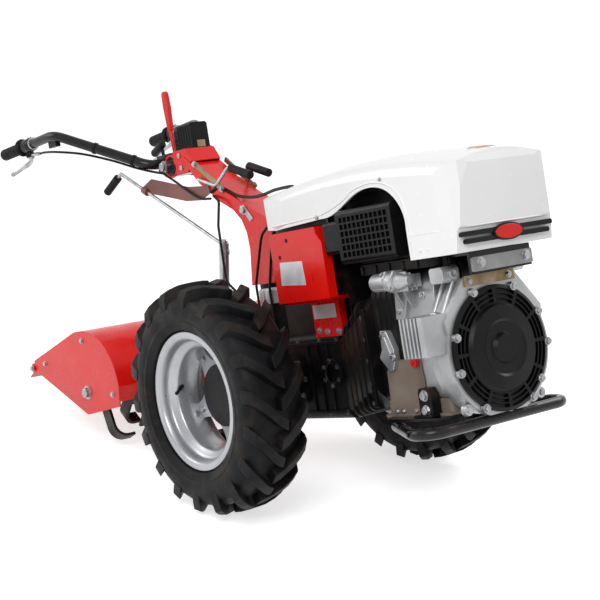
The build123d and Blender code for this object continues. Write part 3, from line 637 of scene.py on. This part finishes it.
def enginePieces():
    silver, black, dusty, bolts, cap = (bmesh.new() for _ in range(5))
    e = engine
    addPlate(silver, crankcaseOutline(e["half"], e["low"], e["high"]), e["split"], e["front"], "x")
    for back, ahead in ((-3, 5), (7, 14)):
        outline = crankcaseOutline(e["half"] + 1.6, e["low"] - 1, e["high"] + 1.6)
        addPlate(silver, outline, e["split"] + back, e["split"] + ahead, "x")
    addPlate(black, crankcaseOutline(e["half"] - 1, e["low"], e["high"] - 2), e["rear"], e["split"], "x")
    for x in e["ribs"]:
        addPlate(black, crankcaseOutline(e["half"] + 0.6, e["low"], e["high"]), x - 2.5, x + 2.5, "x")
    for side in (-1, 1):
        def at(x, y, z):
            return (x, side * y, z)
        addSidePlate(dusty, [(396, -94), (500, -94), (522, -60), (528, -20), (522, 34), (430, 36),
                (400, 10)], side, e["cheek"], 112)
        addSidePlate(dusty, [(404, -92), (500, -92), (500, -87), (404, -87)], side, 110, 114.5)
        for x in (418, 440, 486):
            addLathe(dusty, at(x, 110, -84), (0, side, 0), [(0, 0), (0, 8.5), (4, 7.5), (4, 0)], 20)
            sideBolt(bolts, side, x, 114, -84, 11)
        # sloping bracket on the black half
        addSidePlate(silver, [(410, 106), (432, 104), (450, 60), (449, 34), (440, 14), (424, 12), (396, 44),
                (408, 62)], side, e["cheek"], 124)
        addSidePlate(silver, [(414, 102), (424, 101), (443, 52), (434, 46)], side, 123, 128)
        sideBolt(bolts, side, 421, 124, 94, e["bracketBolt"])
        sideBolt(bolts, side, 446, 124, 43, e["bracketBolt"])
        # upright seam and bosses on the silver half
        addSidePlate(silver, [(484, 60), (489, 60), (489, 200), (484, 200)], side, e["cheek"], 111)
        for x, z in ((484, 150), (478, 176), (560, 176), (560, 60)):
            addLathe(silver, at(x, 104, z), (0, side, 0), [(0, 0), (0, 11), (7, 10), (7, 5.5), (3, 5),
                    (3, 0)], 24)
            sideBolt(bolts, side, x, 107.2, z, 9)
    addLathe(cap, (510, -109, 27), (0, -1, 0), [(0, 0), (0, 8), (4, 8.4), (5, 11), (13, 11), (15, 9.4),
            (15, 4), (19, 4), (19, 0)], 8)
    makePiece(silver, "crankcaseFront", "alloy", bevel=3.0, segments=3)
    rearCase = makePiece(black, "crankcaseRear", "alloy_black", bevel=2.0)
    makePiece(dusty, "crankcaseCovers", "alloy_dusty", bevel=1.6, slot="alloy")
    makePiece(bolts, "crankcaseBolts", "steel_bright")
    makePiece(cap, "oilCap", "red_plastic", bevel=0.8)
    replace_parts(rearCase, "engine_block")


sump = {"panHalf": 105, "rimHalf": 120, "ribs": 6, "ribEvery": 34, "mountBolt": 20}


def sumpPieces():
    pan, mounts, bolts = bmesh.new(), bmesh.new(), bmesh.new()
    addPlate(pan, rounded(378, 598, -sump["panHalf"], sump["panHalf"], 10), -92, -58, "z")
    addPlate(pan, rounded(376, 599, -sump["rimHalf"], sump["rimHalf"], 12), -96, -89, "z")
    for k in range(sump["ribs"]):
        x = 400 + sump["ribEvery"] * k
        addBox(pan, (x, 1 - sump["panHalf"], -99), (x + 6, sump["panHalf"] - 1, -90))
    for side in (-1, 1):
        addSidePlate(mounts, [(522, -95), (564, -95), (564, -44), (556, -30), (526, -30), (522, -40)], side,
                engine["cheek"], 134)
        addSidePlate(mounts, [(510, -95), (572, -95), (572, -89), (510, -89)], side, engine["cheek"], 145)
        for z in (-46, -80):
            sideBolt(bolts, side, 544, 134, z, sump["mountBolt"])
    body = makePiece(pan, "oilPan", "alloy_dusty", bevel=2.0, slot="alloy")
    makePiece(mounts, "engineMounts", "alloy_black", bevel=1.5)
    makePiece(bolts, "mountBolts", "steel_bright")
    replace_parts(body, "sump")


housing = {"rear": 604, "front": 662, "bandOuter": 150.5, "bandInner": 140, "foot": (112, -84),
        "footBolt": 14}


def housingDetails():
    cast, bolts = bmesh.new(), bmesh.new()
    rear, front = housing["rear"], housing["front"]
    footY, footZ = housing["foot"]
    for side in (-1, 1):
        # raised ridges down the sloping shoulder, and the boss below them
        for x in (616, 646):
            addTube(cast, [(x, side * 88, 200), (x, side * 112, 164), (x, side * 140, 118)], 4.5, 12)
        addLathe(cast, (632, side * 138, 124), (0, side, 0.35), [(0, 0), (0, 13), (12, 11.5), (14, 10),
                (14, 5), (9, 5), (9, 0)], 24)
        addLathe(cast, (648, side * 140, 104), (0, side, 0.1), [(0, 0), (0, 8), (9, 7), (9, 3.5), (5, 3.5),
                (5, 0)], 20)
        # band round the side, thicker than the scroll above it
        outer, inner = [], []
        for k in range(15):
            a = math.radians(70 + 62 * k / 14)
            for band, reach in ((outer, housing["bandOuter"]), (inner, housing["bandInner"])):
                band.append((side * reach * math.sin(a), fan["z"] + reach * math.cos(a)))
        addPlate(cast, outer + list(reversed(inner)), 622, front - 2, "x")
        addLathe(cast, (front - 16, side * footY, footZ), (1, 0, 0), [(0, 0), (0, 14), (14, 13), (14, 0)], 24)
        addBolt(bolts, (front - 3, side * footY, footZ), (1, 0, 0), housing["footBolt"])
        addSidePlate(cast, cutCorners(rear + 6, rear + 50, 196, 232, 6), side, 74, 124)
        addLathe(cast, (rear + 30, side * 96, 214), (1, 0, 0), [(0, 0), (0, 13), (27, 12), (27, 6), (22, 6),
                (22, 0)], 24)
    makePiece(cast, "housingRibs", "alloy", bevel=1.6)
    makePiece(bolts, "housingBolts", "steel_bright")


enginePieces()
sumpPieces()
housingDetails()
print("engine dressed")


# front: grey plate with its bolts, and the blank oval on the hood's nose
front = {"plateHalf": 91, "plateBolt": 19, "badgeWide": 44, "badgeTall": 19, "badgeZ": 287}


def frontDetails():
    wide, tall, middle = front["badgeWide"], front["badgeTall"], front["badgeZ"]
    plate, bolts, badge, badgeRim = (bmesh.new() for _ in range(4))
    addPlate(plate, rounded(-front["plateHalf"], front["plateHalf"], 211, 243, 3), 711, 718.5, "x")
    for y in (-66, 70):
        addBolt(bolts, (718, y, 229), (1, 0, 0), front["plateBolt"])
    for y in (-62, 58):
        addBolt(bolts, (668, y, 192), (1, 0, 0), 13)
    for y in (-40, 40):
        addBolt(bolts, (676, y, 255), (0, 0, 1), 15)
    addBolt(bolts, (642, 22, -106), (1, 0, 0), 16)
    addPlate(badgeRim, ellipse(wide, tall, 0, middle), 742, 751, "x")
    addPlate(badge, ellipse(wide - 4, tall - 3.5, 0, middle), 743, 752.4, "x")
    makePiece(plate, "frontPlateFace", "plate_grey", bevel=1.0, slot="zinc_steel")
    makePiece(bolts, "frontBolts", "steel_bright")
    makePiece(badgeRim, "badgeRim", "trim_black", bevel=1.0)
    makePiece(badge, "badgeFace", "red_plastic", bevel=1.4, segments=3)


frontDetails()


# side boxes: blank plates, holes, screws and the collar at the column's foot
sideBox = {"face": 164.5, "skirt": 79.5, "hood": 151.5, "collar": 60, "columnBolt": 20}


def sideDetails():
    plates, dark, screws, collar = (bmesh.new() for _ in range(4))
    face, skirt, hood, collarRadius = (sideBox[key] for key in ("face", "skirt", "hood", "collar"))
    addSidePlate(plates, [(119, 241), (216, 235), (214, 293), (125, 297)], -1, face, face + 1.7)
    for side in (-1, 1):
        # painted shade: thin dark discs on the side face stand for the shade inside two holes
        for x, z in ((164, 347), (128, 309)):
            addLathe(dark, (x, side * (face + 0.1), z), (0, side, 0), [(0, 0), (0, 5.4), (1, 5.2), (1, 0)],
                    16)
        addSidePlate(plates, [(116, 146), (204, 146), (204, 180), (116, 180)], side, skirt, skirt + 2.5)
        for x, z in ((130, 116), (160, 112), (206, 112)):
            sideBolt(screws, side, x, skirt + 0.5, z, 13)
        sideBolt(screws, side, 282, hood, 388, 10)
        sideBolt(screws, side, 529, hood, 444, 8)
        sideBolt(screws, side, -158, columnHalf, 450, sideBox["columnBolt"])
        addSidePlate(screws, [(-170, 462), (-150, 462), (-118, 424), (-134, 416)], side, columnHalf - 1,
                columnHalf + 3)
    addLathe(collar, (-112, 0, 196), (0, 0, 1), [(0, 50), (0, collarRadius), (4, collarRadius + 2),
            (36, collarRadius + 2), (42, collarRadius - 2), (42, 50)], 48, closed=True)
    makePiece(plates, "blankPlates", "badge_silver", bevel=0.4, slot="steel_bright")
    # painted shade: the dark discs that stand for the holes
    makePiece(dark, "sideHoleShade", "grip_rubber")
    makePiece(screws, "sideBolts", "steel_bright", bevel=0.5)
    makePiece(collar, "columnCollar", "alloy", bevel=1.0)


sideDetails()
print("front and side boxes dressed")


# steering head: pivot nuts, switch block, plates, bars and knob
head = {"pivot": (-500, 615), "pivotNut": 26, "cheek": 45.5, "boxRibs": 5, "knob": (-545, -22, 684)}


def headDetails():
    black, zinc, bright, rubber = (bmesh.new() for _ in range(4))
    addPlate(black, rounded(-508, -480, 654, 712, 5), -4, 34)
    for k in range(4):
        addBox(black, (-506, -6, 662 + 12 * k), (-482, 36, 665 + 12 * k))
    for x in (-500, -490, -484):
        addBolt(bright, (x, 8 + (x + 500), 711), (0, 0, 1), 7)
    addBox(zinc, (-411.5, 6, 604), (-408.5, 32, 672))
    addBox(zinc, (-430, 6, 602), (-408.5, 32, 606))
    addBox(bright, (-408.6, 10, 616), (-404, 28, 636))
    for k in range(head["boxRibs"]):
        addBox(black, (-476 + 13 * k, -11.5, 660), (-473 + 13 * k, 49, 716))
    for side in (-1, 1):
        sideBolt(bright, side, head["pivot"][0], 57.5, head["pivot"][1], head["pivotNut"])
        addLathe(black, (-470, side * head["cheek"], 606), (0, side, 0), [(0, 0), (0, 15), (5, 14), (5, 9),
                (3, 8), (3, 0)], 28)
        sideBolt(bright, side, -425, head["cheek"], 600, 15)
        sideBolt(bright, side, -428, head["cheek"], 634, 15)
        # flat bar along the edge of the column
        run = Vector((-232, side * (columnHalf + 3), 511)) - Vector((-356, side * (columnHalf + 3), 606))
        middle = Vector((-294, side * (columnHalf + 2.6), 558.5))
        turn = run.to_track_quat("X", "Z").to_matrix().to_4x4()
        addBox(zinc, middle - Vector((78, 2.2, 7)), middle + Vector((78, 2.2, 7)), turn)
        sideBolt(bright, side, -238, columnHalf + 4.4, 517, 13)
        sideBolt(bright, side, -350, columnHalf + 4.4, 600, 13)
    makePiece(black, "switchBlock", "plastic_black", bevel=1.2)
    makePiece(zinc, "headPlates", "zinc_steel", bevel=0.6)
    makePiece(bright, "headBolts", "steel_bright")
    addRod(rubber, (-548, -22, 650), (-552, -22, 676), 5)
    addLathe(rubber, head["knob"], (-0.92, 0, -0.36), [(-4, 0), (-4, 8), (0, 11), (52, 12), (58, 9),
            (58, 0)], 24)
    makePiece(rubber, "headKnob", "grip_rubber", "handlebar", bevel=0.6)


def barDetails():
    black, bright, levers, cables = (bmesh.new() for _ in range(4))
    end = onSide(bar["gripEnd"], -1)
    along = (onSide(bar["bend"], -1) - end).normalized()
    clamp = bar["radius"]
    for side in (-1, 1):
        def at(distance, off=(0, 0, 0)):
            p = end + along * distance + Vector(off)
            return Vector((p.x, p.y * -side, p.z))
        run = Vector((along.x, along.y * -side, along.z))
        addLathe(black, at(120), run, [(0, clamp), (0, 19), (3, 20), (41, 20), (44, 19), (44, clamp)], 28,
                closed=True)
        addBox(black, at(258, (-10, 0, -32)), at(258, (34, 16, -12)))
        addLathe(bright, at(166), run, [(0, clamp), (0, 18.5), (5, 18.5), (5, clamp)], 28, closed=True)
        addBolt(bright, at(151, (0, 0, 19)), (0, 0, 1), bar["leverBolt"])
        # perch under the bar, with its cable adjuster
        addLathe(black, at(128, (0, 6, -34)), (0, 0, 1), [(0, 0), (0, 11), (16, 13), (24, 10), (24, 0)], 20)
        addLathe(levers, at(130, (0, 8, -36)), (0, 0, 1), [(-3, 0), (-3, 9), (0, 10), (11, 10), (14, 8),
                (14, 0)], 20)
        addTube(levers, [at(136, (0, 8, -28)), at(158, (0, 12, -30)), at(168, (0, 13, -31))], 5.5, 14)
        addTube(levers, [at(166, (0, 13, -31)), at(176, (0, 13, -32))], 4.2, 12)
        blade = smoothLine([at(130, (0, 10, -30)), at(112, (0, 20, -38)), at(84, (0, 24, -46)),
                at(52, (0, 20, -52)),
                            at(22, (0, 13, -60)), at(8, (0, 10, -62))], 6)
        rings = []
        for i, p in enumerate(blade):
            ahead = (blade[min(i + 1, len(blade) - 1)] - blade[max(i - 1, 0)]).normalized()
            across = ahead.cross(Vector((0, 0, 1))).normalized()
            wide = 10 - 4.5 * i / (len(blade) - 1)
            rings.append([levers.verts.new(p + across * 3.2 * math.cos(q) + Vector((0, 0,
                    wide * math.sin(q))))
                          for q in (2 * math.pi * k / 12 for k in range(12))])
        joinRings(levers, rings)
        addLathe(levers, at(7, (0, 10, -69)), (0, 0, 1), [(0, 0), (1.5, 5), (4, 7), (7, 7.6), (10, 7),
                (12.5, 5), (14, 0)], 18)
        # cable from the lever, hanging free and then along the underside of the bar to the pivot
        line = [at(172, (0, 13, -32)), at(214, (0, 8, -36)), Vector((-756, side * 240, 712)),
                Vector((-700, side * 196, 694)),
                Vector((-634, side * 143, 661)), Vector((-580, side * 100, 628)),
                Vector((-538, side * 72, 608)),
                Vector((-506, side * 62, 598))]
        addTube(cables, smoothLine(line), bar["cable"])
        fall = Vector((212, -side * 170, -134))  # from the bend down to the pivot
        for u in (0.45, 0.85):
            p = onSide(bar["bend"], side) + fall * u
            addLathe(cables, p - Vector((5, -side * 4, -3)), fall, [(0, 14), (0, 16.5), (8, 16.5), (8, 14)],
                     24, closed=True)
    makePiece(black, "barFittings", "plastic_black", "handlebar", bevel=0.8)
    makePiece(bright, "barBolts", "steel_bright", "handlebar", bevel=0.4)
    makePiece(cables, "barCables", "cable_black", "handlebar")
    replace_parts(makePiece(levers, "handLevers", "steel_bright", "handlebar", bevel=0.6), "hand_levers")


def columnCables():
    bm = bmesh.new()
    for side in (-1, 1):
        y = side * (columnHalf + 9)
        addTube(bm, smoothLine([(-500, side * 62, 596), (-450, y, 566), (-390, y, 530), (-340, y, 505),
                (-290, y, 498)]), bar["cable"])
    addTube(bm, smoothLine([(-292, -columnHalf - 4, 516), (-250, -columnHalf + 2, 522), (-190, -40, 492),
            (-110, -52, 478),
                            (-40, -66, 476), (40, -82, 480), (128, -98, 478), (146, -102, 472)]), 4.2, 12)
    makePiece(bm, "columnCables", "cable_black")


headDetails()
barDetails()
columnCables()
print("steering head dressed")


# inside of the hood: dark blocks over the engine; on the hood: pressed creases and screws
hoodCrease = {"face": 151.2, "side": 2.6, "front": 1.9, "z": 309}


def hoodDetails():
    z = hoodCrease["z"]
    dark, crease, screws = bmesh.new(), bmesh.new(), bmesh.new()
    addPlate(dark, rounded(380, 636, -132, 132, 20), 236, 262, "z")
    addPlate(dark, rounded(372, 590, -120, 120, 20), 262, 330, "z")
    addPlate(dark, rounded(66, 372, -128, 128, 20), 368.5, 430, "z")
    addPlate(dark, rounded(-44, 205, -56, 56, 14), 109, 188, "z")
    for k in range(5):
        addBox(dark, (392 + 48 * k, -136, 238), (400 + 48 * k, 136, 258))
    for y in (-96, 96):
        addRod(dark, (640, y, 206), (640, y, 258), 9)
        addRod(dark, (618, y * 0.9, 198), (604, y * 0.9, 262), 6)
    for side in (-1, 1):
        y = side * hoodCrease["face"]
        arch = [(602, y, 262), (601, y, 330), (590, y, 392), (552, y, 428), (496, y, 441), (432, y, 434),
                (384, y, 414),
                (300, y, 393), (200, y, 389), (104, y, 386)]
        addTube(crease, smoothLine(arch), hoodCrease["side"])
        for x in (626, 652):
            sideBolt(screws, side, x, hoodCrease["face"] + 0.4, 274, 7)
    halfLine = [(596, -151, z), (690, -150.5, z), (722, -145, z), (738, -132, z + 0.5), (745, -102, z + 1)]
    nose = halfLine + [(746.4, 0, z + 1)] + [(x, -y, h) for x, y, h in reversed(halfLine)]
    addTube(crease, smoothLine(nose), hoodCrease["front"])
    makePiece(dark, "engineTopCover", "alloy_black", bevel=2.0)
    makePiece(crease, "hoodCreases", "hood_white", sharp=80)
    makePiece(screws, "hoodScrews", "hood_white")


hoodDetails()


# gearbox: covers, ribs and rows of bolts on the black castings
casting = {"face": 79, "cover": (156, 10), "coverCircle": 31, "coverBolts": 6, "axleCircle": 56,
        "axleBolts": 8}


def gearboxDetails():
    face, (coverX, coverZ) = casting["face"], casting["cover"]
    cast, bolts = bmesh.new(), bmesh.new()
    for side in (-1, 1):
        for x in (60, 100, 140):
            addSidePlate(cast, cutCorners(x, x + 9, -84, 88, 2), side, face, face + 5)
        for z in (-86, 86):
            addBox(cast, (-140, side * 82 - 3.5, z - 4), (190, side * 82 + 3.5, z + 4))
        addLathe(cast, (coverX, side * face, coverZ), (0, side, 0), [(0, 0), (0, 38), (8, 36), (8, 26),
                (5, 24), (5, 0)], 40)
        for k in range(casting["coverBolts"]):
            a = math.radians(360 / casting["coverBolts"] * k + 30)
            u, v = casting["coverCircle"] * math.cos(a), casting["coverCircle"] * math.sin(a)
            sideBolt(bolts, side, coverX + u, face + 8, coverZ + v, 9)
        for k in range(casting["axleBolts"]):
            a = math.radians(360 / casting["axleBolts"] * k)
            u, v = casting["axleCircle"] * math.cos(a), casting["axleCircle"] * math.sin(a)
            sideBolt(bolts, side, u, face + 15, v, 12)
        for x, z in [(x, z) for z in (98, -94) for x in (-132, -60, 30, 120, 188)]:
            sideBolt(bolts, side, x, face + 0.5, z * 0.93, 10)
        for z in (-60, -15, 40, 90, 140):
            sideBolt(bolts, side, 361, 129, z, 11)
        # flange ring on the flywheel case
        addSidePlate(cast, [(362, -70), (374, -70), (374, 160), (362, 160)], side, 126, 134)
    for x in (230, 262, 294, 326):
        t = (x - 200) / 160
        half, low, high = 80 + 50 * t, -105 + 30 * t, 110 + 85 * t
        addPlate(cast, crankcaseOutline(half + 2.2, low - 1, high + 2, 30, 24), x - 3, x + 3, "x")
    makePiece(cast, "gearboxRibs", "gearbox_black", bevel=1.2)
    makePiece(bolts, "gearboxBolts", "bolt_dark", bevel=0.4, slot="steel_bright")


gearboxDetails()
print("hood and gearbox dressed")


# starter: banded barrel, eared flange and a tapered nose bolted to the crankcase
starter = {"barrel": (448, -145, 216), "nose": (506, -145, 214), "earBolt": 11, "footBolt": 12}


def starterPiece():
    bm, bolts = bmesh.new(), bmesh.new()
    addLathe(bm, starter["barrel"], (1, 0, 0), [(0, 0), (0, 17), (2, 20), (6, 21), (52, 21), (53, 22.5),
            (58, 22.5), (59, 20), (59, 0)], 40)
    addLathe(bm, starter["nose"], (1, 0, 0), [(0, 0), (0, 24), (12, 24), (16, 21), (40, 18), (52, 15),
            (60, 11), (64, 10), (64, 0)], 40)
    for low, high in ((499, 508), (528, 534)):
        addPlate(bm, [(-168, 226), (-158, 240), (-128, 240), (-106, 226), (-106, 150), (-118, 150),
                (-136, 188), (-164, 198)],
                 low, high, "x")
    for k in range(3):
        addBox(bm, (508, -147 + 13 * k, 190), (560, -143 + 13 * k, 234 - 4 * k))
    addPlate(bm, [(455, 196), (560, 196), (560, 226), (455, 226)], -140, -104)
    addPlate(bm, [(470, 128), (500, 128), (528, 196), (500, 206), (478, 190)], -118, -104)
    for x, z in ((516, 206), (478, 216)):
        addLathe(bm, (x, -164 if x > 500 else -160, z), (0, -1, 0), [(-8, 0), (-8, 9), (2, 8), (2, 4),
                (-3, 4), (-3, 0)], 20)
    for y, z in ((-160, 233), (-116, 228)):
        addBolt(bolts, (498, y, z), (-1, 0, 0), starter["earBolt"])
    addBolt(bolts, (484, -118, 146), (0, -1, 0), starter["footBolt"])
    body = makePiece(bm, "starter", "alloy", bevel=1.6)
    makePiece(bolts, "starterBolts", "steel_bright")
    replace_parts(body, "starter_motor")


# blank oval on the top of the hood, laid on its slope
oval = {"wide": 21, "long": 39, "place": (706, 0, 476.4), "slope": 9}


def topBadge():
    face, edge = bmesh.new(), bmesh.new()
    wide, long = oval["wide"], oval["long"]
    addPlate(edge, ellipse(wide, long, 0, 0), -3, 1.4, "z")
    addPlate(face, ellipse(wide - 3, long - 4, 0, 0), -3, 2.2, "z")
    place = stanceMatrix @ Matrix.Translation(oval["place"]) @ Matrix.Rotation(math.radians(oval["slope"]),
            4, "Y")
    makePiece(edge, "topBadgeEdge", "badge_silver", bevel=0.8, matrix=place, slot="hood_white")
    makePiece(face, "topBadgeFace", "red_plastic", bevel=0.8, matrix=place)


# rear: strip and knuckles of the flap hinge, shield bolts, and the nut and clamp bolts of the depth screw
flapHinge = {"x": -918, "z": 108, "knuckles": 9, "every": 82, "half": 14, "radius": 9.5}
screwNut = (-275, -50, 368)


def rearDetails():
    hingeX, hingeZ, half, radius = (flapHinge[key] for key in ("x", "z", "half", "radius"))
    red, steel = bmesh.new(), bmesh.new()
    addBox(red, (-910.8, -shieldHalf, 115), (-907.5, shieldHalf, 131))
    for k in range(flapHinge["knuckles"]):
        y = -328 + flapHinge["every"] * k
        knuckle = [(0, 6.05), (0, radius), (2 * half, radius), (2 * half, 6.05)]
        addLathe(red, (hingeX, y - half, hingeZ), (0, 1, 0), knuckle, 24, closed=True)
        addBox(red, (hingeX + 3, y - half, hingeZ + 2), (hingeX + 10, y + half, hingeZ + 12))
    for side in (-1, 1):
        sideBolt(steel, side, hingeX, shieldHalf + 8, hingeZ, 15)
        for x, z in ((-474, 20), (-600, 172), (-840, 118)):
            sideBolt(steel, side, x, shieldHalf + 4, z, 13)
        sideBolt(steel, side, -615, shieldHalf + 3.6, 29, 30)
        for z in (-52, 0, 52):
            addBolt(steel, (-172, side * 68 * math.cos(math.radians(z)), z * 1.1), (-1, 0, 0), 12)
    makePiece(red, "flapHinge", "red_paint", bevel=0.6)
    down = Vector((-math.sin(stance["pitch"]), 0, -math.cos(stance["pitch"])))
    nut = Vector(screwNut)
    addLathe(steel, nut - down * 16, down, [(0, 0), (0, 8), (3, 10.5), (26, 10.5), (28, 15.5), (40, 15.5),
            (40, 0)], 24)
    addRod(steel, nut + Vector((0, -13, 4)), nut + Vector((0, 13, 4)), 4)
    for distance in (322, 342):
        p = nut + down * distance
        addBolt(steel, (p.x, -72, p.z), (0, -1, 0), 13)
    makePiece(steel, "rearBolts", "steel_bright", bevel=0.4)


starterPiece()
topBadge()
rearDetails()
print("starter, badge and rear dressed")


# red saddle over the fork at the top of the column
saddle = {"half": 48, "outline": ((-462, 584), (-396, 584), (-372, 612), (-396, 648), (-462, 648))}


def headCover():
    bm = bmesh.new()
    for side in (-1, 1):
        addSidePlate(bm, saddle["outline"], side, head["cheek"], head["cheek"] + 2.5)
        addLathe(bm, (-478, side * 46, 612), (0, side, 0), [(0, 26), (0, 33), (3, 32), (3, 27)], 40,
                closed=True)
    addPlate(bm, [(-462, 646), (-396, 646), (-394, 649.5), (-462, 649.5)], -saddle["half"], saddle["half"])
    addPlate(bm, [(-397, 646), (-372, 610), (-368.5, 612), (-394, 649.5)], -saddle["half"], saddle["half"])
    makePiece(bm, "headSaddle", "red_paint", bevel=1.0)


headCover()
print("column head covered")
